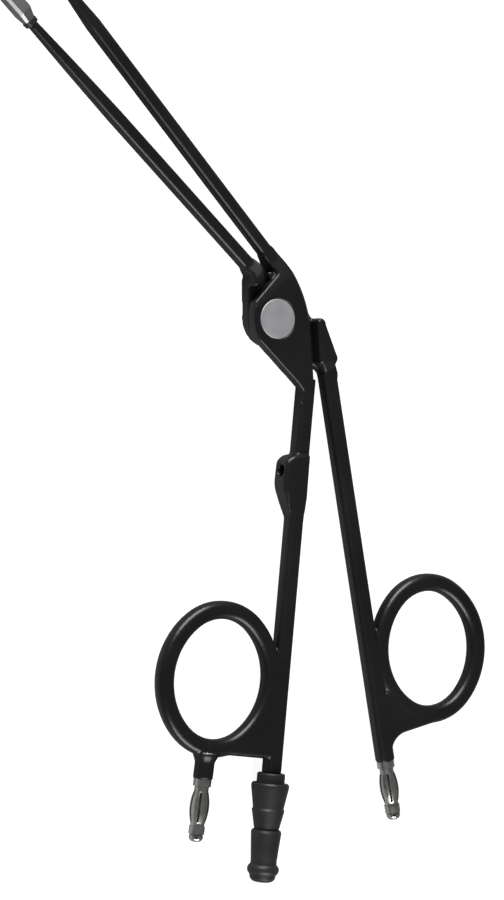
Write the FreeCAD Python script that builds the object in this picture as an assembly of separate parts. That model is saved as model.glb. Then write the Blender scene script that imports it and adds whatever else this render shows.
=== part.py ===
import FreeCAD, Part
import math
import os

# Ring-handled bipolar clamp with a lap joint, two insulated branches, two 4 mm contact pins.
# The clamp lies flat: +Z points to the viewer, +Y from the handles to the jaws.
# Everything is modelled about the middle plane of the joint, then lifted so that
# the back face of the joint lies on Z = 0 with the pivot axis at X = Y = 0.

V = FreeCAD.Vector

# Joint
joint_thickness = 7.0
lap_gap = 0.4
lap_washer_thickness = 0.3
lap_washer_radius = 6.0
coat_wall = 0.35
plate_wall = 0.75

# Pivot pin, its collar and the insulating bushings
pin_head_radius = 5.0
pin_head_height = 1.5
pin_radius = 2.5
pin_end_radius = 1.9
head_clearance = 0.05
collar_radius = 4.2
collar_height = 1.35
collar_recess = 0.05
collar_clearance = 0.15
bushing_radius = 3.2
bushing_flange = 0.5
bushing_flange_inset = 0.25
running_clearance = 0.05

# Jaws: offset of each centre line from the pivot, and its lean to the left of +Y
front_jaw_offset = 10.07
front_jaw_lean = 42.25
rear_jaw_offset = 5.145
rear_jaw_lean = 46.97
jaw_root = 8.2
jaw_width = 3.6
jaw_thickness = 3.9
jaw_corner = 1.35
jaw_tip_width = 2.3
jaw_tip_corner = 0.85
jaw_length = 96.0
front_taper_start = 86.0
rear_taper_start = 66.0
rear_taper_middle = 83.0
rear_taper_middle_width = 3.0

# Electrodes
electrode_length = 24.6
electrode_base = 2.8
electrode_width = 4.2
electrode_back = 1.35
electrode_flare = 2.6
tang_radius = 0.7
tang_length = 4.0
rib_pitch = 1.1
rib_depth = 0.3
rib_margin = 2.2
stud_radius = 0.6
stud_height = 0.4
stud_depth = 0.8
stud_clearance = 0.03
stud_places = (0.18, 0.5, 0.82)
tip_collar_length = 1.2
tip_collar_width = 3.1

# Handles
shank_width = 4.4
shank_corner = 1.4
front_shank_top = (10.4, -14.9)
front_shank_end = (0.15, -114.2)
rear_shank_top = (16.6, -13.4)
rear_shank_end = (34.55, -113.3)
ring_hole_width = 25.8
ring_hole_height = 29.9
ring_end_radius = 11.1
ring_wire = 4.6
ring_thickness = 4.6
ring_round = 1.9
front_ring_centre = (-15.5, -89.7)
front_ring_lean = -7.0
rear_ring_centre = (47.9, -84.9)
rear_ring_lean = 7.5
web_thickness = 4.2
web_round = 1.3

# Side boss with its socket, on the front shank
boss_thickness = 6.2
boss_round = 1.2
nose_round = 1.2
lug_round = 0.9
socket_radius = 1.5
socket_depth = 4.0
socket_mouth = 0.6
socket_place = (2.5, -38.0)
socket_tilt = 5.6

# Contact pins
contact_radius = 2.0
contact_root_radius = 1.4
contact_root_length = 8.0
contact_neck = 2.3
contact_core_radius = 1.3
cage_length = 9.4
cage_bulge_radius = 2.45
cage_wall = 0.4
cage_band = 0.7
cage_band_radius = 1.8
cage_slots = 6
cage_slot_width = 0.5
cage_slot_length = 7.4
contact_tip_length = 3.9
contact_tip_round = 1.2
contact_stub_length = 1.5
contact_nose_radius = 1.8
tip_groove = 0.4
tip_hole_radius = 0.4
tip_hole_depth = 0.7
sleeve_radius = 2.5
sleeve_flare = 0.9
front_contact_end = (-19.8, -114.3)
front_contact_lean = -8.0

# Rubber boot on the end of the front shank
boot_length = 27.4
spigot_radius = 1.7
spigot_length = 15.0
spigot_ring_width = 1.2
spigot_ring_height = 0.4

half_joint = joint_thickness / 2
lap_face = lap_gap / 2
SMOOTH = "smooth"


def polar(degrees):
    """Unit vector that leans to the left of +Y by the angle."""
    return V(-math.sin(math.radians(degrees)), math.cos(math.radians(degrees)), 0)


def across(direction):
    """Unit vector to the right of a direction in the plane of the clamp."""
    return V(direction.y, -direction.x, 0)


def lean_of(top, end):
    """Lean of the line that runs down from one point to another."""
    return math.degrees(math.atan2(end[0] - top[0], top[1] - end[1]))


def jaw_point(offset, lean, along, side=0.0):
    """Point on a jaw's centre line, or beside it, measured from the pivot."""
    run = polar(lean)
    return across(run) * (offset + side) + run * along


def section(centre, run, width, thickness, corner, bevel=False):
    """Rectangle with round or bevelled corners, square to the run of a bar."""
    a = across(run)
    up = V(0, 0, 1)
    x = width / 2
    z = thickness / 2
    way = corner * (1 - math.sqrt(0.5))
    cut = 2 * way if bevel else corner
    corners = []
    for sx, sz in ((1, 1), (-1, 1), (-1, -1), (1, -1)):
        places = [(x, z - cut), (x - way, z - way), (x - cut, z)]
        if sx != sz:
            places.reverse()
        corners.append([centre + a * (sx * p) + up * (sz * q) for p, q in places])
    loop = []
    for i, points in enumerate(corners):
        loop.append(Part.makeLine(points[0], points[2]) if bevel else Part.Arc(*points).toShape())
        loop.append(Part.makeLine(points[2], corners[(i + 1) % 4][0]))
    return Part.Wire(loop)


def bar(stations, bevel=False):
    """Bar through sections (centre, run, width, thickness, corner), straight or tapered between them."""
    spans = []
    for low, high in zip(stations, stations[1:]):
        if low[2:] == high[2:]:
            spans.append(Part.Face(section(*low, bevel)).extrude(high[0] - low[0]))
        else:
            spans.append(Part.makeLoft([section(*low, bevel), section(*high, bevel)], True, True))
    return spans[0].fuse(spans[1:]) if len(spans) > 1 else spans[0]


def outline(points):
    """Closed wire from points. Four values are an arc: the way point, then the end.
    Three values are an arc to the point that carries on the direction of the edge before it."""
    edges = []
    first = V(points[0][0], points[0][1], 0)
    last = first
    run = None
    for point in points[1:]:
        end = V(point[-2], point[-1], 0) if len(point) == 4 else V(point[0], point[1], 0)
        chord = end - last
        if len(point) == 4:
            edge = Part.Arc(last, V(point[0], point[1], 0), end).toShape()
        elif len(point) == 3:
            turn = math.atan2(run.x * chord.y - run.y * chord.x, run.dot(chord))
            way = (last + end) / 2 + across(chord) * (math.tan(turn / 2) / 2)
            edge = Part.Arc(last, way, end).toShape()
        else:
            edge = Part.makeLine(last, end)
        edges.append(edge)
        run = edge.tangentAt(edge.LastParameter)
        last = end
    if last.distanceToPoint(first) > 1e-6:
        edges.append(Part.makeLine(last, first))
    return Part.Wire(edges)


def arc_end(low, high, point, run):
    """End of an arc that leaves a line at its high point and joins the line through a point smoothly."""
    first = (high - low).normalize()
    along = (high - point).cross(first).z / run.cross(first).z
    corner = point + run * along
    return corner + run * corner.distanceToPoint(high)


def slab(points, low, high, setback=0.0):
    """Plate from an outline between two heights, smaller all round by the setback."""
    face = Part.Face(outline(points))
    if setback:
        face = face.makeOffset2D(-setback)
    low_z = low + setback
    high_z = high - setback
    return face.translated(V(0, 0, low_z)).extrude(V(0, 0, high_z - low_z))


def edges_at(solid, height, pick):
    """Edges that lie at a height and whose middle the picker accepts."""
    found = []
    for edge in solid.Edges:
        box = edge.BoundBox
        if abs(box.ZMin - height) < 1e-4 and abs(box.ZMax - height) < 1e-4:
            if pick(edge.valueAt((edge.FirstParameter + edge.LastParameter) / 2)):
                found.append(edge)
    return found


def ramp(start, run, drop_from, drop_to, length, setback=0.0):
    """Block above a slope that falls from one height to another along the run."""
    fall = math.atan2(drop_from - drop_to, length)
    normal = V(0, 0, 1) * math.cos(fall) + run * math.sin(fall)
    reach = 60.0
    block = Part.makeBox(2 * reach, 2 * reach, reach, V(-reach, -reach, 0))
    turn = FreeCAD.Rotation(V(0, 0, 1), normal)
    block.Placement = FreeCAD.Placement(start + V(0, 0, drop_from - setback), turn)
    return block


def mirrored_down(solid):
    """The same solid on the other side of the middle plane."""
    return solid.mirror(V(0, 0, 0), V(0, 0, 1))


def oval(centre, lean, grow):
    """Face bounded by the four-arc oval of a ring's hole, made larger by an amount."""
    half_height = ring_hole_height / 2
    half_width = ring_hole_width / 2
    rise = half_height - ring_end_radius
    spread = half_width - ring_end_radius
    shift = (rise ** 2 - spread ** 2) / (2 * spread)
    corner = V(shift, rise, 0).normalize() * (half_width + shift + grow) - V(shift, 0, 0)
    x = corner.x
    y = corner.y
    top = half_height + grow
    side = half_width + grow
    points = ((x, -y), (side, 0, x, y), (0, top, -x, y), (-side, 0, -x, -y), (0, -top, x, -y))
    face = Part.Face(outline(points))
    face.rotate(V(0, 0, 0), V(0, 0, 1), lean)
    return face.translated(V(centre[0], centre[1], 0))


def ring(centre, lean, wall=0.0):
    """Finger ring: an oval band with well rounded edges, bevelled where it is the core."""
    thickness = ring_thickness - 2 * wall
    face = oval(centre, lean, ring_wire - wall).cut(oval(centre, lean, wall))
    band = face.translated(V(0, 0, -thickness / 2)).extrude(V(0, 0, thickness))
    rims = [edge for edge in band.Edges if edge.BoundBox.ZLength < 1e-4]
    if wall:
        return band.makeChamfer((2 - math.sqrt(2)) * (ring_round - wall), rims)
    return band.makeFillet(ring_round, rims)


def web(points, centre, lean, setback=0.0):
    """Flat web between a ring and its shank, rounded along its free lower edge."""
    plate = slab(points, -web_thickness / 2, web_thickness / 2, setback)
    if not setback:
        below_ring = centre[1] - ring_hole_height / 2 - ring_wire / 2
        free = [edge for edge in plate.Edges
                if edge.BoundBox.ZLength < 1e-4 and edge.BoundBox.XLength > 4 * edge.BoundBox.YLength
                and edge.BoundBox.YMax < below_ring]
        plate = plate.makeFillet(web_round, free)
    hole = oval(centre, lean, ring_wire / 2)
    hole = hole.translated(V(0, 0, -web_thickness)).extrude(V(0, 0, 2 * web_thickness))
    return plate.cut(hole)


def shank(top, end, wall=0.0):
    """Straight handle bar between two points."""
    low = V(end[0], end[1], 0)
    run = polar(lean_of(top, end))
    high = V(top[0], top[1], 0) - run * wall
    sizes = (shank_width - 2 * wall, shank_width - 2 * wall, shank_corner - wall)
    return bar([(low, run) + sizes, (high, run) + sizes], wall > 0)


def jaw(offset, lean, stages, wall=0.0):
    """Jaw bar that tapers to its tip through stages of (distance, width, corner)."""
    stations = []
    for along, width, corner in stages:
        thickness = width * jaw_thickness / jaw_width
        sizes = (width - 2 * wall, thickness - 2 * wall, corner - wall)
        stations.append((jaw_point(offset, lean, along), polar(lean)) + sizes)
    return bar(stations, wall > 0)


def boss(setback=0.0):
    """Side boss on the front shank, thicker than the shank, sloping away below."""
    points = ((10.3, -34.2), (6.2, -34.0), (4.2, -34.6, 3.0, -35.9), (2.5, -39.5), (2.4, -42.0, 3.1, -44.5),
              (5.0, -51.0), (8.8, -51.0))
    body = slab(points, -boss_thickness / 2, boss_thickness / 2, setback)
    if not setback:
        rim = []
        for height in (-boss_thickness / 2, boss_thickness / 2):
            rim += edges_at(body, height, lambda p: p.y > -48.0)
        body = body.makeFillet(boss_round, rim)
    slope = ramp(V(0, -43.0, 0), V(0, -1, 0), boss_thickness / 2, shank_width / 2 - 0.1, 4.6, setback)
    return body.cut(slope).cut(mirrored_down(slope))


def front_branch(core):
    """Front branch: right jaw, front lap plate, left shank and ring. The core is the steel inside."""
    wall = coat_wall if core else 0.0
    setback = plate_wall if core else 0.0
    run = polar(front_jaw_lean)
    half_width = jaw_width / 2
    shoulder_height = jaw_thickness / 2 - 0.1
    root = jaw_root + setback
    stages = ((root, jaw_width, jaw_corner), (front_taper_start, jaw_width, jaw_corner),
              (jaw_length, jaw_tip_width, jaw_tip_corner))
    arm = jaw(front_jaw_offset, front_jaw_lean, stages, wall)

    left = jaw_point(front_jaw_offset, front_jaw_lean, jaw_root + 3.3, -half_width)
    right = jaw_point(front_jaw_offset, front_jaw_lean, jaw_root + 3.3, half_width)
    bend = jaw_point(front_jaw_offset, front_jaw_lean, jaw_root - 2.8, half_width)
    plate_points = ((left.x, left.y), (0.7, 11.45), (-6.3, 4.2), (-6.72, -0.5, -5.2, -5.5), (7.7, -17.7),
                    (7.5, -21.0), (11.6, -21.0), (10.6, -4.0), (bend.x, bend.y, SMOOTH), (right.x, right.y))
    plate = slab(plate_points, lap_face, half_joint, setback)
    if not core:
        plate = plate.makeFillet(1.8, edges_at(plate, half_joint, lambda p: p.x > 1.5 and p.y > -20.0))
        inner = edges_at(plate, half_joint, lambda p: p.x < 3.0 and -17.0 < p.y < 9.5)
        plate = plate.makeFillet(0.5, inner)
    plate = plate.cut(ramp(jaw_point(front_jaw_offset, front_jaw_lean, jaw_root - 2.6), run,
                           half_joint, shoulder_height, 5.6, setback))
    plate = plate.cut(ramp(V(0, -15.4, 0), V(0, -1, 0), half_joint, shank_width / 2 - 0.1, 5.4, setback))

    # Shoulder of the jaw behind the lap plate
    corners = ((jaw_root, -half_width), (jaw_root + 5.8, -half_width), (jaw_root + 5.8, half_width),
               (jaw_root, half_width))
    heel = [jaw_point(front_jaw_offset, front_jaw_lean, along, side) for along, side in corners]
    shoulder = slab([(p.x, p.y) for p in heel], -half_joint, half_joint / 2, setback)
    slope = ramp(jaw_point(front_jaw_offset, front_jaw_lean, jaw_root + 2.0), run,
                 half_joint, shoulder_height, 3.4, setback)
    shoulder = shoulder.cut(mirrored_down(slope))

    handle = shank(front_shank_top, front_shank_end, wall)
    band = ring(front_ring_centre, front_ring_lean, wall)
    low = front_ring_centre[1] - ring_hole_height / 2 - ring_wire
    web_points = ((-16.5, low + 4.8), (-15.8, low + 0.8), (-1.5, low - 1.2), (0.6, low - 1.2), (2.3, low + 13.2),
                  (-2.0, low + 13.2))
    fill = web(web_points, front_ring_centre, front_ring_lean, setback)
    sleeve = contact_sleeve(front_contact_end, front_contact_lean, wall)
    pieces = [plate, shoulder, handle, boss(setback), band, fill, sleeve]
    return arm.fuse(pieces)


def rear_branch(core):
    """Rear branch: left jaw, rear lap plate, right shank and ring. The core is the steel inside."""
    wall = coat_wall if core else 0.0
    setback = plate_wall if core else 0.0
    run = polar(rear_jaw_lean)
    half_width = jaw_width / 2
    shoulder_height = jaw_thickness / 2 - 0.1
    nose_end = jaw_root + 6.4
    stages = ((jaw_root + 2.8, jaw_width, jaw_corner), (rear_taper_start, jaw_width, jaw_corner),
              (rear_taper_middle, rear_taper_middle_width, rear_taper_middle_width * jaw_corner / jaw_width),
              (jaw_length, jaw_tip_width, jaw_tip_corner))
    arm = jaw(rear_jaw_offset, rear_jaw_lean, stages, wall)

    root = jaw_point(rear_jaw_offset, rear_jaw_lean, jaw_root + 1.3, half_width)
    edge = jaw_point(rear_jaw_offset, rear_jaw_lean, nose_end, -half_width)
    far = jaw_point(rear_jaw_offset, rear_jaw_lean, nose_end, half_width)
    near = jaw_point(rear_jaw_offset, rear_jaw_lean, jaw_root + 4.0, half_width)
    plate_points = ((-6.6, 9.9), (-6.45, 1.5), (-5.4, -3.6, -2.3, -6.4), (11.9, -11.5), (13.4, -12.0, 14.6, -13.4),
                    (15.0, -16.4), (17.8, -16.4), (17.1, -12.4), (17.75, -10.8), (18.15, -9.7, 17.75, -8.6),
                    (14.6, -1.2), (14.0, 0.1, 12.4, 0.3), (8.3, 6.0), (4.0, 9.3), (1.4, 10.2), (root.x, root.y))
    plate = slab(plate_points, -half_joint, -lap_face, setback)
    slope = ramp(V(0, -10.6, 0), V(0, -1, 0), half_joint, shank_width / 2 - 0.1, 2.8, setback)
    plate = plate.cut(mirrored_down(slope))

    # Nose: the root of the jaw stands as high as the joint and ends in a round shoulder
    nose_points = ((edge.x, edge.y), (-6.65, 10.8), (-6.6, 8.0), (-4.35, 8.8, -3.45, 11.1),
                   (near.x, near.y, SMOOTH), (far.x, far.y))
    nose = slab(nose_points, -half_joint, half_joint, setback)
    if not core:
        nose = nose.makeFillet(nose_round, edges_at(nose, half_joint, lambda p: p.y < far.y - 0.5))
    slope = ramp(jaw_point(rear_jaw_offset, rear_jaw_lean, jaw_root + 2.8), run, half_joint,
                 shoulder_height, 3.4, setback)
    nose = nose.cut(slope).cut(mirrored_down(slope))

    # Lug: the root of the right shank stands as high as the joint beside the front plate
    lug_points = ((11.8, -0.5), (12.7, -11.0), (13.7, -11.6, 14.9, -13.3), (15.3, -15.6), (17.7, -15.6),
                  (17.1, -12.4), (17.75, -10.8), (18.15, -9.7, 17.75, -8.6), (14.6, -1.2), (14.0, 0.1, 12.4, 0.3))
    lug = slab(lug_points, -half_joint / 2, half_joint, setback)
    if not core:
        lug = lug.makeFillet(lug_round, edges_at(lug, half_joint, lambda p: p.y > -12.3))
    lug = lug.cut(ramp(V(0, -10.4, 0), V(0, -1, 0), half_joint, shank_width / 2 - 0.1, 2.4, setback))

    handle = shank(rear_shank_top, rear_shank_end, wall)
    band = ring(rear_ring_centre, rear_ring_lean, wall)
    low = rear_ring_centre[1] - ring_hole_height / 2 - ring_wire
    web_points = ((54.0, low + 5.5), (53.0, low + 1.0), (40.0, low - 1.8), (36.2, low - 5.1, SMOOTH), (34.6, low - 6.1),
                  (32.5, low + 8.5), (36.0, low + 8.5))
    fill = web(web_points, rear_ring_centre, rear_ring_lean, setback)
    return arm.fuse([plate, nose, lug, handle, band, fill])


def contact_sleeve(end, lean, wall=0.0):
    """Round stub under a ring that carries a contact pin, flared where it meets the ring."""
    run = polar(lean)
    radius = sleeve_radius - wall
    length = 9.0 - wall
    start = V(end[0], end[1], 0) + run * wall
    stub = Part.makeCylinder(radius, length, start, run)
    flare = Part.makeCone(radius, radius + sleeve_flare, 2.0, start + run * 4.2, run)
    return stub.fuse(flare)


def tube(outer, inner, low, high):
    """Round tube on the pivot axis between two heights."""
    solid = Part.makeCylinder(outer, high - low, V(0, 0, low))
    if inner:
        solid = solid.cut(Part.makeCylinder(inner, high - low + 2, V(0, 0, low - 1)))
    return solid


def cut_joint(branch, front, wall):
    """Pivot bore and the recess for the pin's head or for the collar."""
    if front:
        recess_radius = pin_head_radius + head_clearance
        floor = head_floor - bushing_flange - wall
        recess = tube(recess_radius + wall, 0, floor, joint_thickness)
    else:
        recess_radius = collar_radius + collar_clearance
        recess = tube(recess_radius + wall, 0, -joint_thickness, collar_floor + wall)
    return branch.cut([recess, tube(bushing_radius, 0, -joint_thickness, joint_thickness)])


def socket_cutter(wall):
    """Round blind socket in the left side of the boss, with a widened mouth."""
    inward = V(math.cos(math.radians(socket_tilt)), -math.sin(math.radians(socket_tilt)), 0)
    mouth = V(socket_place[0], socket_place[1], 0)
    hole = Part.makeCylinder(socket_radius + wall, socket_depth + wall + 2, mouth - inward * 2, inward)
    rim = socket_radius + socket_mouth
    countersink = Part.makeCone(rim + wall + 1, socket_radius + wall, socket_mouth + 1, mouth - inward, inward)
    return hole.fuse(countersink)


def jaw_frame(shape, offset, lean, front):
    """Place a shape made along +X, with +Y towards the other jaw, on a jaw's centre line."""
    run = polar(lean)
    inward = across(run) * (-1 if front else 1)
    up = run.cross(inward)
    origin = across(run) * offset
    place = FreeCAD.Matrix(run.x, inward.x, up.x, origin.x, run.y, inward.y, up.y, origin.y,
                           run.z, inward.z, up.z, 0, 0, 0, 0, 1)
    return shape.transformed(place, True)


def electrode(front):
    """Bare jaw insert: flared blade with a ribbed inner face, a rounded nose and a round tang."""
    start = jaw_length + tip_collar_length
    end = start + electrode_length
    face = contact_face
    full = start + electrode_flare
    half_base = electrode_base / 2
    stations = []
    for along, back, inner, width in ((start, half_base, half_base, electrode_base),
                                      (full, electrode_back + 0.15, face, electrode_width),
                                      (end - 6.0, electrode_back - 0.1, face, electrode_width * 0.9),
                                      (end - 1.5, electrode_back - 0.9, face, electrode_width * 0.6),
                                      (end, electrode_back - 1.7, face - 0.6, electrode_width * 0.3)):
        depth = back + inner
        centre = V(along, (inner - back) / 2, 0)
        stations.append((centre, V(1, 0, 0), depth, width, 0.3 * min(depth, width)))
    blade = bar(stations, True)
    grooves = []
    count = int((electrode_length - electrode_flare - 2 * rib_margin) / rib_pitch)
    side_length = rib_depth * math.sqrt(2)
    for i in range(count + 1):
        groove = Part.makeBox(side_length, side_length, 2 * electrode_width)
        groove.rotate(V(0, 0, 0), V(0, 0, 1), 45)
        grooves.append(groove.translated(V(full + rib_margin + i * rib_pitch, face - rib_depth, -electrode_width)))
    tang = Part.makeCylinder(tang_radius, tang_length + tip_collar_length, V(jaw_length - tang_length, 0, 0), V(1, 0, 0))
    blade = blade.fuse(tang)
    if front:
        grooves += stud_shapes(face - stud_depth, stud_depth + 1)
    return blade.cut(grooves)


def stud_shapes(low, height):
    """Round studs or their seats along the inner face of an electrode."""
    start = jaw_length + tip_collar_length + electrode_flare + rib_margin
    run = electrode_length - electrode_flare - 2 * rib_margin
    return [Part.makeCylinder(stud_radius, height, V(start + run * share, low, 0), V(0, 1, 0))
            for share in stud_places]


def tip_collar():
    """Insulating collar between the coated jaw and the bare electrode."""
    start = V(jaw_length, 0, 0)
    end = V(jaw_length + tip_collar_length, 0, 0)
    corner = tip_collar_width * 0.3
    body = bar([(start, V(1, 0, 0), tip_collar_width, tip_collar_width, corner),
                (end, V(1, 0, 0), tip_collar_width + 0.2, tip_collar_width + 0.2, corner)])
    return body.cut(Part.makeCylinder(tang_radius, tip_collar_length + 2, start - V(1, 0, 0), V(1, 0, 0)))


def revolved(profile, start, run):
    """Solid of revolution from an outline of (distance, radius) points, placed along a direction."""
    solid = Part.Face(outline(profile)).revolve(V(0, 0, 0), V(1, 0, 0), 360)
    solid.Placement = FreeCAD.Placement(start, FreeCAD.Rotation(V(1, 0, 0), run))
    return solid


def contact_pin(end, lean):
    """Turned contact pin: root, neck, slim core for the spring cage, and a stub for the tip."""
    neck = contact_neck
    stub = neck + cage_length + contact_stub_length
    profile = ((-contact_root_length, 0), (-contact_root_length, contact_root_radius), (0, contact_root_radius),
               (0, cage_bulge_radius - 0.2), (neck - 0.5, cage_bulge_radius - 0.2), (neck - 0.5, cage_band_radius),
               (neck, cage_band_radius), (neck, contact_core_radius),
               (stub, contact_core_radius), (stub, 0))
    return revolved(profile, V(end[0], end[1], 0), polar(lean) * -1)


def contact_tip(end, lean):
    """Round nose on the pin's stub, which holds the spring cage. It has a groove and a small hole."""
    run = polar(lean) * -1
    low = contact_neck + cage_length
    stub = low + contact_stub_length
    tip = low + contact_tip_length
    groove = low + 0.5 * contact_tip_length
    r = contact_radius
    nose = contact_nose_radius
    turn = tip - contact_tip_round
    way = contact_tip_round * math.sqrt(0.5)
    profile = ((low, contact_core_radius), (low, r), (groove, r), (groove, r - tip_groove),
               (groove + 0.3, r - tip_groove), (groove + 0.3, nose), (turn, nose),
               (turn + way, nose - contact_tip_round + way, tip, nose - contact_tip_round), (tip, 0),
               (stub, 0), (stub, contact_core_radius))
    start = V(end[0], end[1], 0)
    drill = V(-0.5, 0, 1).normalize()
    hole_place = start + run * turn + drill * (r - tip_hole_depth)
    return revolved(profile, start, run).cut(Part.makeCylinder(tip_hole_radius, 2 * r, hole_place, drill))


def contact_cage(end, lean):
    """Spring cage round the pin's core: a slotted sleeve that bulges in the middle."""
    run = polar(lean) * -1
    start = V(end[0], end[1], 0)
    low = contact_neck
    high = contact_neck + cage_length
    middle = (low + high) / 2
    half_bow = cage_length / 2 - cage_band
    bore = contact_core_radius
    inner = cage_band_radius - cage_wall
    profile = ((low, bore), (low, cage_band_radius), (middle - half_bow, cage_band_radius),
               (middle, cage_bulge_radius, middle + half_bow, cage_band_radius), (high, cage_band_radius),
               (high, bore), (middle + half_bow, bore), (middle + half_bow, inner),
               (middle, cage_bulge_radius - cage_wall, middle - half_bow, inner), (middle - half_bow, bore))
    slots = []
    for i in range(cage_slots):
        slot = Part.makeBox(cage_slot_length, cage_slot_width, 2 * contact_radius,
                            V(middle - cage_slot_length / 2, -cage_slot_width / 2, 0))
        slot.rotate(V(0, 0, 0), V(1, 0, 0), 360 * (i + 0.5) / cage_slots)
        slot.Placement = FreeCAD.Placement(start, FreeCAD.Rotation(V(1, 0, 0), run)).multiply(slot.Placement)
        slots.append(slot)
    return revolved(profile, start, run).cut(slots)


def contact_seat(end, lean):
    """Hole in a branch that the root of a contact pin sits in."""
    run = polar(lean)
    start = V(end[0], end[1], 0)
    return Part.makeCylinder(contact_root_radius, contact_root_length + 1, start - run, run)


def tail_boot():
    """Rubber boot: a collar, three cones that overlap like a pagoda, a bead and a round end."""
    profile = ((0, 0), (0, 3.3), (0.3, 3.56), (2.5, 3.56), (2.5, 4.5), (2.9, 4.8), (3.6, 4.8), (8.8, 3.9),
               (9.3, 4.16), (14.3, 3.1), (14.3, 3.6), (14.9, 3.86), (22.0, 3.3), (22.9, 3.35),
               (24.2, 4.05, 25.5, 3.4), (26.4, 3.2), (27.1, 2.6, boot_length, 1.5), (boot_length, 0))
    start = V(front_shank_end[0], front_shank_end[1], 0)
    run = polar(lean_of(front_shank_top, front_shank_end)) * -1
    return revolved(profile, start, run).cut(spigot())


def spigot():
    """Steel end of the front branch inside the boot, with rings that grip the rubber."""
    start = V(front_shank_end[0], front_shank_end[1], 0)
    run = polar(lean_of(front_shank_top, front_shank_end)) * -1
    profile = [(-1.0, 0), (-1.0, spigot_radius)]
    for place in (spigot_length * 0.4, spigot_length * 0.7):
        profile += [(place, spigot_radius), (place, spigot_radius + spigot_ring_height),
                    (place + spigot_ring_width, spigot_radius)]
    profile += [(spigot_length - 0.5, spigot_radius), (spigot_length, spigot_radius - 0.5), (spigot_length, 0)]
    return revolved(profile, start, run)


def save(name, shape):
    """Write one piece, lifted so that the back face of the joint is at Z = 0."""
    placed = shape.translated(V(0, 0, half_joint))
    placed.exportStep("parts/" + name + ".step")
    print(name, len(placed.Solids), round(placed.Volume, 2), placed.isValid())


head_floor = half_joint - pin_head_height
collar_top = -half_joint + collar_recess + collar_height
collar_floor = collar_top + running_clearance + bushing_flange
contact_face = (front_jaw_offset - rear_jaw_offset - stud_height - stud_clearance) / 2
rear_contact_lean = lean_of(rear_shank_top, rear_shank_end)

os.makedirs("parts", exist_ok=True)

# Steel cores
tang_seat = Part.makeCylinder(tang_radius, tang_length + 1, V(jaw_length - tang_length, 0, 0), V(1, 0, 0))
front_tang_seat = jaw_frame(tang_seat, front_jaw_offset, front_jaw_lean, True)
rear_tang_seat = jaw_frame(tang_seat, rear_jaw_offset, rear_jaw_lean, False)
front_seat = contact_seat(front_contact_end, front_contact_lean)
rear_seat = contact_seat(rear_shank_end, rear_contact_lean)
front_core = cut_joint(front_branch(True), True, coat_wall).cut([front_tang_seat, front_seat, socket_cutter(coat_wall)])
front_core = front_core.fuse(spigot())
rear_core = cut_joint(rear_branch(True), False, coat_wall).cut([rear_tang_seat, rear_seat])
save("front_core", front_core)
save("rear_core", rear_core)

# Insulating coats, each one shell round its core
front_coat = cut_joint(front_branch(False), True, 0).cut([front_core, front_tang_seat, front_seat, socket_cutter(0)])
rear_coat = cut_joint(rear_branch(False), False, 0).cut([rear_core, rear_tang_seat, rear_seat])
save("front_coat", front_coat)
save("rear_coat", rear_coat)

# Jaw inserts
save("front_electrode", jaw_frame(electrode(True), front_jaw_offset, front_jaw_lean, True))
save("rear_electrode", jaw_frame(electrode(False), rear_jaw_offset, rear_jaw_lean, False))
save("front_tip_collar", jaw_frame(tip_collar(), front_jaw_offset, front_jaw_lean, True))
save("rear_tip_collar", jaw_frame(tip_collar(), rear_jaw_offset, rear_jaw_lean, False))
studs = Part.makeCompound(stud_shapes(contact_face - stud_depth, stud_depth + stud_height))
save("spacer_studs", jaw_frame(studs, front_jaw_offset, front_jaw_lean, True))

# Pivot
head = tube(pin_head_radius, 0, head_floor, half_joint)
head = head.makeChamfer(0.15, [e for e in head.Edges if abs(e.BoundBox.ZMin - half_joint) < 1e-4])
shaft = tube(pin_radius, 0, collar_top, head_floor + 0.1)
end = tube(pin_end_radius, 0, -half_joint + collar_recess, collar_top + 0.1)
save("pivot_pin", head.fuse([shaft, end]))
save("pivot_collar", tube(collar_radius, pin_end_radius, -half_joint + collar_recess, collar_top))
flange = tube(pin_head_radius - bushing_flange_inset, pin_radius, head_floor - bushing_flange, head_floor)
save("front_bushing", flange.fuse(tube(bushing_radius, pin_radius, lap_face, head_floor - bushing_flange)))
bore = pin_radius + running_clearance
flange = tube(collar_radius - 0.1, bore, collar_floor - bushing_flange, collar_floor)
save("rear_bushing", flange.fuse(tube(bushing_radius, bore, collar_floor, -lap_face)))
save("lap_washer", tube(lap_washer_radius, pin_radius, lap_face - lap_washer_thickness, lap_face))

# Contact pins and boot
for side, end, lean in (("front", front_contact_end, front_contact_lean), ("rear", rear_shank_end, rear_contact_lean)):
    save(side + "_contact_pin", contact_pin(end, lean))
    save(side + "_contact_cage", contact_cage(end, lean))
    save(side + "_contact_tip", contact_tip(end, lean))
save("tail_boot", tail_boot())
print("closing angle", round(rear_jaw_lean - front_jaw_lean, 3))
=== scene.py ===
import bmesh
import bpy
import math
from mathutils import Matrix, Vector


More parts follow.
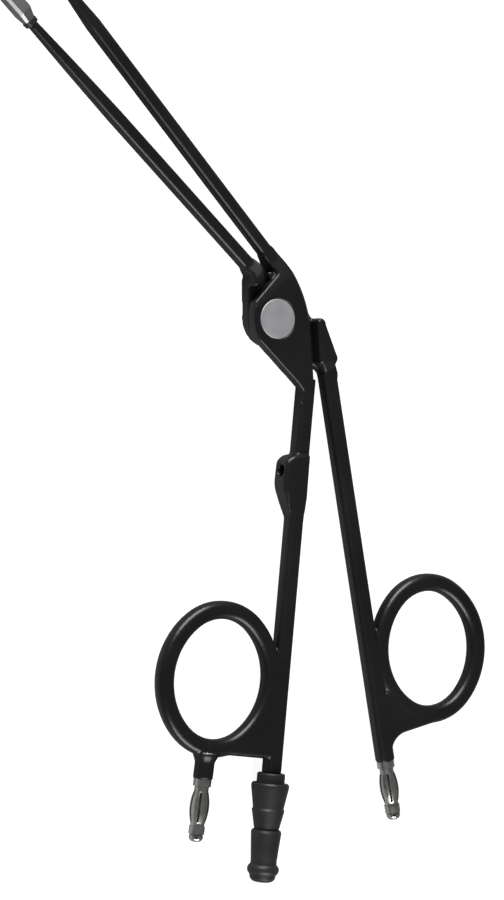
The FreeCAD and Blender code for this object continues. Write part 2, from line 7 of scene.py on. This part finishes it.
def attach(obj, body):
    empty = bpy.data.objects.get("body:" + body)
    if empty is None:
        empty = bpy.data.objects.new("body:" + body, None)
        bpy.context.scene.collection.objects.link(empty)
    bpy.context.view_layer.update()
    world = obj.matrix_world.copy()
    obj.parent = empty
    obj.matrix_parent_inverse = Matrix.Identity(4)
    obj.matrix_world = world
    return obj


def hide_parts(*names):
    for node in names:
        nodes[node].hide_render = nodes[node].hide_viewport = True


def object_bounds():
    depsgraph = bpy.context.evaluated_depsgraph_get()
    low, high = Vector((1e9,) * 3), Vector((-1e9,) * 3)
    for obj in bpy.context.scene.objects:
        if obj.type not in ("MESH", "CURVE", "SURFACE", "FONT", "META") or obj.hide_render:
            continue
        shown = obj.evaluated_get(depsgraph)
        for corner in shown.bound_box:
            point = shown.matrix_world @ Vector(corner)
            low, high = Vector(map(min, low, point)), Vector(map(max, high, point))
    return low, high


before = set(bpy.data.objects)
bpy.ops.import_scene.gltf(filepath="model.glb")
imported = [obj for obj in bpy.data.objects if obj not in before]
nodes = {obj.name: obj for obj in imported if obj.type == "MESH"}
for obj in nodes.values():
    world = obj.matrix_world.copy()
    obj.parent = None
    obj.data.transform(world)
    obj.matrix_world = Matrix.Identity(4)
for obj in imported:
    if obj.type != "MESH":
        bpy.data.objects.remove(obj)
cad_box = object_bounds()
middle = (cad_box[0] + cad_box[1]) / 2
MM = 0.001
MICRON = 0.000001
WHITE = (1, 1, 1, 1)


# Node trees

def node_adder(tree):
    """A function that adds a node to this tree: its inputs as a dictionary, its properties by name."""
    def add(kind, inputs=None, **properties):
        node = tree.nodes.new(kind)
        for key, value in properties.items():
            setattr(node, key, value)
        feed(tree, node, inputs or {})
        return node

    return add


def feed(tree, node, inputs):
    """Links each input to a node's output, or sets it to a constant."""
    for socket, source in inputs.items():
        if isinstance(source, bpy.types.NodeSocket):
            tree.links.new(source, node.inputs[socket])
        else:
            node.inputs[socket].default_value = source


def new_material(name):
    """Empty material, with one function that adds nodes and one that feeds the shader."""
    material = bpy.data.materials.new(name)
    material.use_nodes = True
    tree = material.node_tree
    shader = tree.nodes["Principled BSDF"]

    def finish(inputs):
        feed(tree, shader, inputs)
        return material

    return node_adder(tree), finish


def object_place(add):
    return add("ShaderNodeTexCoord").outputs["Object"]


def noise(add, scale, detail=3.0, roughness=0.5, stretch=None):
    """Noise by place in metres; stretch gives one more scale for each axis."""
    where = object_place(add)
    if stretch:
        where = add("ShaderNodeMapping", {"Vector": where, "Scale": stretch}).outputs["Vector"]
    inputs = {"Vector": where, "Scale": scale, "Detail": detail, "Roughness": roughness}
    return add("ShaderNodeTexNoise", inputs).outputs["Fac"]


def spread(add, value, low, high, start=0.3, end=0.7):
    """A value from start to end, spread from low to high."""
    inputs = {"Value": value, "From Min": start, "From Max": end, "To Min": low, "To Max": high}
    return add("ShaderNodeMapRange", inputs).outputs["Result"]


def tint(add, value, dark, light, start=0.35, end=0.65):
    """Colour between two colours, as the value goes from start to end."""
    ramp = add("ShaderNodeValToRGB", {"Fac": value})
    first, last = ramp.color_ramp.elements
    first.position = start
    first.color = (*dark, 1)
    last.position = end
    last.color = (*light, 1)
    return ramp.outputs["Color"]


def with_painted_shade(add, colour, reach):
    """A colour with painted shade: darker in grooves and slots within this reach, where shade falls."""
    # Painted shade: an occlusion mask darkens the colour in hollows.
    shade_mask = add("ShaderNodeAmbientOcclusion", {"Distance": reach}, samples=8).outputs["AO"]
    light_left = spread(add, shade_mask, low=0.03, high=1.0, start=0.25, end=0.80)
    return add("ShaderNodeVectorMath", {0: colour, "Scale": light_left}, operation="SCALE").outputs["Vector"]


def bump(add, height, distance, strength=1.0, over=None):
    """Surface relief, on top of another normal where over gives one."""
    inputs = {"Height": height, "Distance": distance, "Strength": strength}
    if over is not None:
        inputs["Normal"] = over
    return add("ShaderNodeBump", inputs).outputs["Normal"]


# Materials

def coat_material():
    """Black insulating coat: soft gloss that varies in patches, faint orange peel and a fine grain."""
    add, finish = new_material("black_coat")
    patches = noise(add, scale=55.0, detail=4.0)
    peel = noise(add, scale=1400.0, detail=2.0)
    grain = noise(add, scale=5200.0, detail=1.0)
    soft_edges = add("ShaderNodeBevel", {"Radius": 0.5 * MM}, samples=6).outputs["Normal"]
    grained = bump(add, grain, distance=2 * MICRON, strength=0.5, over=soft_edges)
    return finish({
        "Base Color": tint(add, patches, dark=(0.0058, 0.0058, 0.0060), light=(0.0085, 0.0085, 0.0088)),
        "Roughness": spread(add, patches, low=0.28, high=0.36),
        "Specular IOR Level": 0.34,
        "Coat Weight": 0.12,
        "Coat Roughness": 0.20,
        "Normal": bump(add, peel, distance=12 * MICRON, strength=0.6, over=grained),
    })


def steel_material(name, dark, light, low, high, stretch):
    """Bare steel, faintly clouded, with machining marks fine along the axes that stretch makes large."""
    add, finish = new_material(name)
    marks = noise(add, scale=900.0, roughness=0.6, stretch=stretch)
    clouds = noise(add, scale=120.0)
    return finish({
        "Base Color": tint(add, clouds, dark, light),
        "Roughness": spread(add, marks, low, high),
        "Metallic": 1.0,
        "Normal": bump(add, marks, distance=6 * MICRON, strength=0.5),
    })


def turned_material():
    """Turned face of the pin and its collar: fine rings round the joint's axis and faint clouds."""
    add, finish = new_material("turned_steel")
    rings_per_metre = 6048.0
    flat = add("ShaderNodeVectorMath", {0: object_place(add), 1: (1.0, 1.0, 0.0)}, operation="MULTIPLY")
    radius = add("ShaderNodeVectorMath", {0: flat.outputs["Vector"]}, operation="LENGTH").outputs["Value"]
    turns = add("ShaderNodeMath", {0: radius, 1: math.tau * rings_per_metre}, operation="MULTIPLY")
    rings = add("ShaderNodeMath", {0: turns.outputs["Value"]}, operation="SINE").outputs["Value"]
    clouds = noise(add, scale=260.0)
    return finish({
        "Base Color": tint(add, clouds, dark=(0.385, 0.385, 0.405), light=(0.425, 0.425, 0.445)),
        "Roughness": spread(add, clouds, low=0.52, high=0.62),
        "Metallic": 0.6,
        "Normal": bump(add, rings, distance=4 * MICRON, strength=0.25),
    })


def nickel_material():
    """Bright nickel plate, a little clouded, with painted shade in its slots, and fine turning marks."""
    add, finish = new_material("bright_nickel")
    clouds = noise(add, scale=420.0)
    marks = noise(add, scale=2400.0, detail=2.0, stretch=(1.0, 6.0, 1.0))
    plate = tint(add, clouds, dark=(0.50, 0.495, 0.48), light=(0.62, 0.61, 0.59))
    return finish({
        # Painted shade: the plate darkens in its slots and round the pin's core.
        "Base Color": with_painted_shade(add, plate, reach=1.1 * MM),
        "Roughness": spread(add, clouds, low=0.20, high=0.30),
        "Metallic": 1.0,
        "Normal": bump(add, marks, distance=0.8 * MICRON, strength=0.3),
    })


def rubber_material():
    """Matt rubber: dark grey in faint clouds, with painted shade in its waists, finely grained."""
    add, finish = new_material("matt_rubber")
    grain = noise(add, scale=4200.0, roughness=0.7)
    clouds = noise(add, scale=180.0, detail=4.0)
    skin = tint(add, clouds, dark=(0.014, 0.014, 0.0145), light=(0.020, 0.020, 0.021))
    return finish({
        # Painted shade: the rubber darkens in its waists and under each rim.
        "Base Color": with_painted_shade(add, skin, reach=1.2 * MM),
        "Roughness": spread(add, clouds, low=0.42, high=0.50),
        "Specular IOR Level": 0.4,
        "Normal": bump(add, grain, distance=14 * MICRON, strength=0.5),
    })


def plain_material(name, dark, light, low, high):
    """Moulded or fired piece with faint clouds and a fine skin."""
    add, finish = new_material(name)
    clouds = noise(add, scale=300.0)
    skin = noise(add, scale=3000.0, detail=2.0)
    return finish({
        "Base Color": tint(add, clouds, dark, light),
        "Roughness": spread(add, clouds, low, high),
        "Normal": bump(add, skin, distance=6 * MICRON, strength=0.4),
    })


coat = coat_material()
cut_steel = steel_material("cut_steel", dark=(0.50, 0.50, 0.49), light=(0.58, 0.58, 0.57),
                           low=0.28, high=0.42, stretch=(1.0, 1.0, 8.0))
satin_steel = steel_material("satin_steel", dark=(0.30, 0.30, 0.31), light=(0.38, 0.38, 0.39),
                             low=0.40, high=0.52, stretch=(5.0, 5.0, 1.0))
dark_collar = plain_material("dark_collar", dark=(0.010, 0.010, 0.011), light=(0.016, 0.016, 0.017),
                             low=0.38, high=0.50)
ceramic = plain_material("white_ceramic", dark=(0.70, 0.68, 0.62), light=(0.78, 0.76, 0.71),
                         low=0.18, high=0.28)
bearing = plain_material("bearing_plastic", dark=(0.52, 0.47, 0.37), light=(0.60, 0.55, 0.45),
                         low=0.40, high=0.55)
slip = plain_material("washer_plastic", dark=(0.66, 0.65, 0.62), light=(0.74, 0.73, 0.70),
                      low=0.35, high=0.50)

finishes = (
    (coat, ("front_coat", "rear_coat")),
    (cut_steel, ("front_core", "rear_core")),
    (satin_steel, ("front_electrode", "rear_electrode")),
    (dark_collar, ("front_tip_collar", "rear_tip_collar")),
    (ceramic, ("spacer_studs",)),
    (turned_material(), ("pivot_pin", "pivot_collar")),
    (bearing, ("front_bushing", "rear_bushing")),
    (slip, ("lap_washer",)),
    (nickel_material(), ("front_contact_pin", "front_contact_cage", "front_contact_tip",
                         "rear_contact_pin", "rear_contact_cage", "rear_contact_tip")),
    (rubber_material(), ("tail_boot",)),
)
for material, names in finishes:
    for name in names:
        for slot in nodes[name].material_slots:
            slot.material = material


# Skins: each branch's coat as it looks on the real clamp, with soft edges and small fillings

VOXEL = 0.25 * MM
SMOOTHING = 0.5
SMOOTHING_ROUNDS = 8


def add_filling(mesh, outline, low, high):
    """Prism over a plan outline in millimetres, added to an open edit mesh."""
    bottom = [mesh.verts.new((x * MM, y * MM, low * MM)) for x, y in outline]
    top = [mesh.verts.new((x * MM, y * MM, high * MM)) for x, y in outline]
    mesh.faces.new(list(reversed(bottom)))
    mesh.faces.new(top)
    for i in range(len(outline)):
        j = (i + 1) % len(outline)
        mesh.faces.new((bottom[i], bottom[j], top[j], top[i]))


def branch_mesh(name, coat_node, core_node, fillings):
    """Coat, core and fillings of a branch in one mesh, still with their own faces."""
    edit = bmesh.new()
    edit.from_mesh(nodes[coat_node].data)
    edit.from_mesh(nodes[core_node].data)
    for outline, low, high in fillings:
        add_filling(edit, outline, low, high)
    mesh = bpy.data.meshes.new(name)
    edit.to_mesh(mesh)
    edit.free()
    return mesh


def soften(mesh):
    """New mesh with the outer surface only, its edges rounded."""
    draft = bpy.data.objects.new(mesh.name, mesh)
    bpy.context.scene.collection.objects.link(draft)
    remesh = draft.modifiers.new("outer_surface", "REMESH")
    remesh.mode = "VOXEL"
    remesh.voxel_size = VOXEL
    smooth = draft.modifiers.new("soft_edges", "SMOOTH")
    smooth.factor = SMOOTHING
    smooth.iterations = SMOOTHING_ROUNDS
    result = bpy.data.meshes.new_from_object(draft.evaluated_get(bpy.context.evaluated_depsgraph_get()))
    bpy.data.objects.remove(draft)
    return result


def soft_skin(name, body, coat_node, core_node, fillings):
    """Skin that stands for a branch's coat and rides on its body."""
    skin = bpy.data.objects.new(name, soften(branch_mesh(name + "_draft", coat_node, core_node, fillings)))
    bpy.context.scene.collection.objects.link(skin)
    skin.data.materials.clear()
    skin.data.materials.append(coat)
    for face in skin.data.polygons:
        face.use_smooth = True
    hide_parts(coat_node)
    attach(skin, body)


# Fillings: a plan outline from the pivot's axis, then the lowest and highest level, in millimetres
web_behind_nose = (((-3.8, 8.6), (-3.8, 13.0), (-2.1, 12.6), (-1.35, 12.3), (-0.7, 11.7), (0.5, 11.5),
                    (2.5, 11.1), (4.2, 10.1), (4.4, 8.4)), 0.1, 3.3)
lip_under_jaw = (((1.2, 9.6), (-1.2, 10.1), (-1.7, 10.7), (-1.5, 11.6), (0.2, 11.7), (2.2, 12.8),
                  (2.4, 10.4)), 3.75, 5.3)
run_out_of_lug = (((16.2, -10.8), (17.78, -10.2), (18.35, -11.8), (18.78, -13.2), (18.9, -14.6),
                   (16.2, -14.6)), 1.5, 5.5)

soft_skin("front_skin", "front_branch", "front_coat", "front_core", (lip_under_jaw,))
soft_skin("rear_skin", "rear_branch", "rear_coat", "rear_core", (web_behind_nose, run_out_of_lug))


# Floor

FLOOR_SIZE = 6.0
FLOOR_GREY = (0.36, 0.36, 0.36, 1)
FLOOR_GLOW = 0.93


def floor_material():
    """Pale floor: grey under the lamps, with a glow that only the camera sees."""
    add, finish = new_material("pale_floor")
    seen = add("ShaderNodeLightPath").outputs["Is Camera Ray"]
    glow = add("ShaderNodeMath", {0: seen, 1: FLOOR_GLOW}, operation="MULTIPLY").outputs["Value"]
    return finish({
        "Base Color": FLOOR_GREY,
        "Roughness": 0.9,
        "Specular IOR Level": 0.0,
        "Emission Color": WHITE,
        "Emission Strength": glow,
    })


bpy.ops.mesh.primitive_plane_add(size=FLOOR_SIZE, location=(0, 0, cad_box[0].z))
floor = bpy.context.object
floor.name = "floor"
floor.data.materials.append(floor_material())


# Lights: one softbox past the jaws, one past the rings, and a dim white room

def softbox(name, place, width, height, power):
    """Area lamp that faces the middle of the clamp."""
    lamp = bpy.data.lights.new(name, "AREA")
    lamp.shape = "RECTANGLE"
    lamp.size = width
    lamp.size_y = height
    lamp.energy = power
    holder = bpy.data.objects.new(name, lamp)
    bpy.context.scene.collection.objects.link(holder)
    turn = (middle - Vector(place)).to_track_quat("-Z", "Y")
    holder.matrix_world = Matrix.Translation(place) @ turn.to_matrix().to_4x4()


def studio_room(glow):
    """White room for the camera, and a dim light from all sides for everything else."""
    room = bpy.data.worlds.new("studio")
    room.use_nodes = True
    add = node_adder(room.node_tree)
    seen = add("ShaderNodeLightPath").outputs["Is Camera Ray"]
    strength = spread(add, seen, low=glow, high=1.0, start=0.0, end=1.0)
    backdrop = room.node_tree.nodes["Background"]
    feed(room.node_tree, backdrop, {"Color": WHITE, "Strength": strength})
    return room


softbox("top_light", place=(-0.25, 1.10, 0.60), width=1.0, height=0.6, power=24.0)
softbox("bottom_light", place=(-0.15, -1.10, 0.60), width=1.0, height=0.5, power=14.0)
bpy.context.scene.world = studio_room(glow=0.14)


# Camera: looks down on the clamp, which lies flat, from its left side

LEAN_LEFT = math.radians(31.0)
LEAN_LOW = math.radians(1.0)
DISTANCE = 0.700
NEAREST = 0.01
JOINT_FACE = 7.0 * MM
SENSOR_HEIGHT = 36.0
IMAGE_WIDTH = 504
IMAGE_HEIGHT = 900
PIVOT_PIXEL_X = 278.2
PIVOT_PIXEL_Y = 318.8
PIXELS_PER_METRE = 4000.0

right = Vector((math.cos(LEAN_LEFT), 0, math.sin(LEAN_LEFT)))
back = Vector((-math.sin(LEAN_LEFT) * math.cos(LEAN_LOW), math.sin(LEAN_LOW),
               math.cos(LEAN_LEFT) * math.cos(LEAN_LOW)))
up = back.cross(right)
side = (IMAGE_WIDTH / 2 - PIVOT_PIXEL_X) / PIXELS_PER_METRE
rise = (PIVOT_PIXEL_Y - IMAGE_HEIGHT / 2) / PIXELS_PER_METRE
place = Vector((0, 0, JOINT_FACE)) + right * side + up * rise + back * DISTANCE
camera = bpy.data.objects.new("camera", bpy.data.cameras.new("camera"))
camera.data.sensor_fit = "VERTICAL"
camera.data.sensor_height = SENSOR_HEIGHT
camera.data.lens = SENSOR_HEIGHT * PIXELS_PER_METRE * DISTANCE / IMAGE_HEIGHT
camera.data.clip_start = NEAREST
camera.matrix_world = Matrix.Translation(place) @ Matrix((right, up, back)).transposed().to_4x4()
bpy.context.scene.collection.objects.link(camera)
bpy.context.scene.camera = camera
bpy.context.scene.view_settings.view_transform = "Standard"
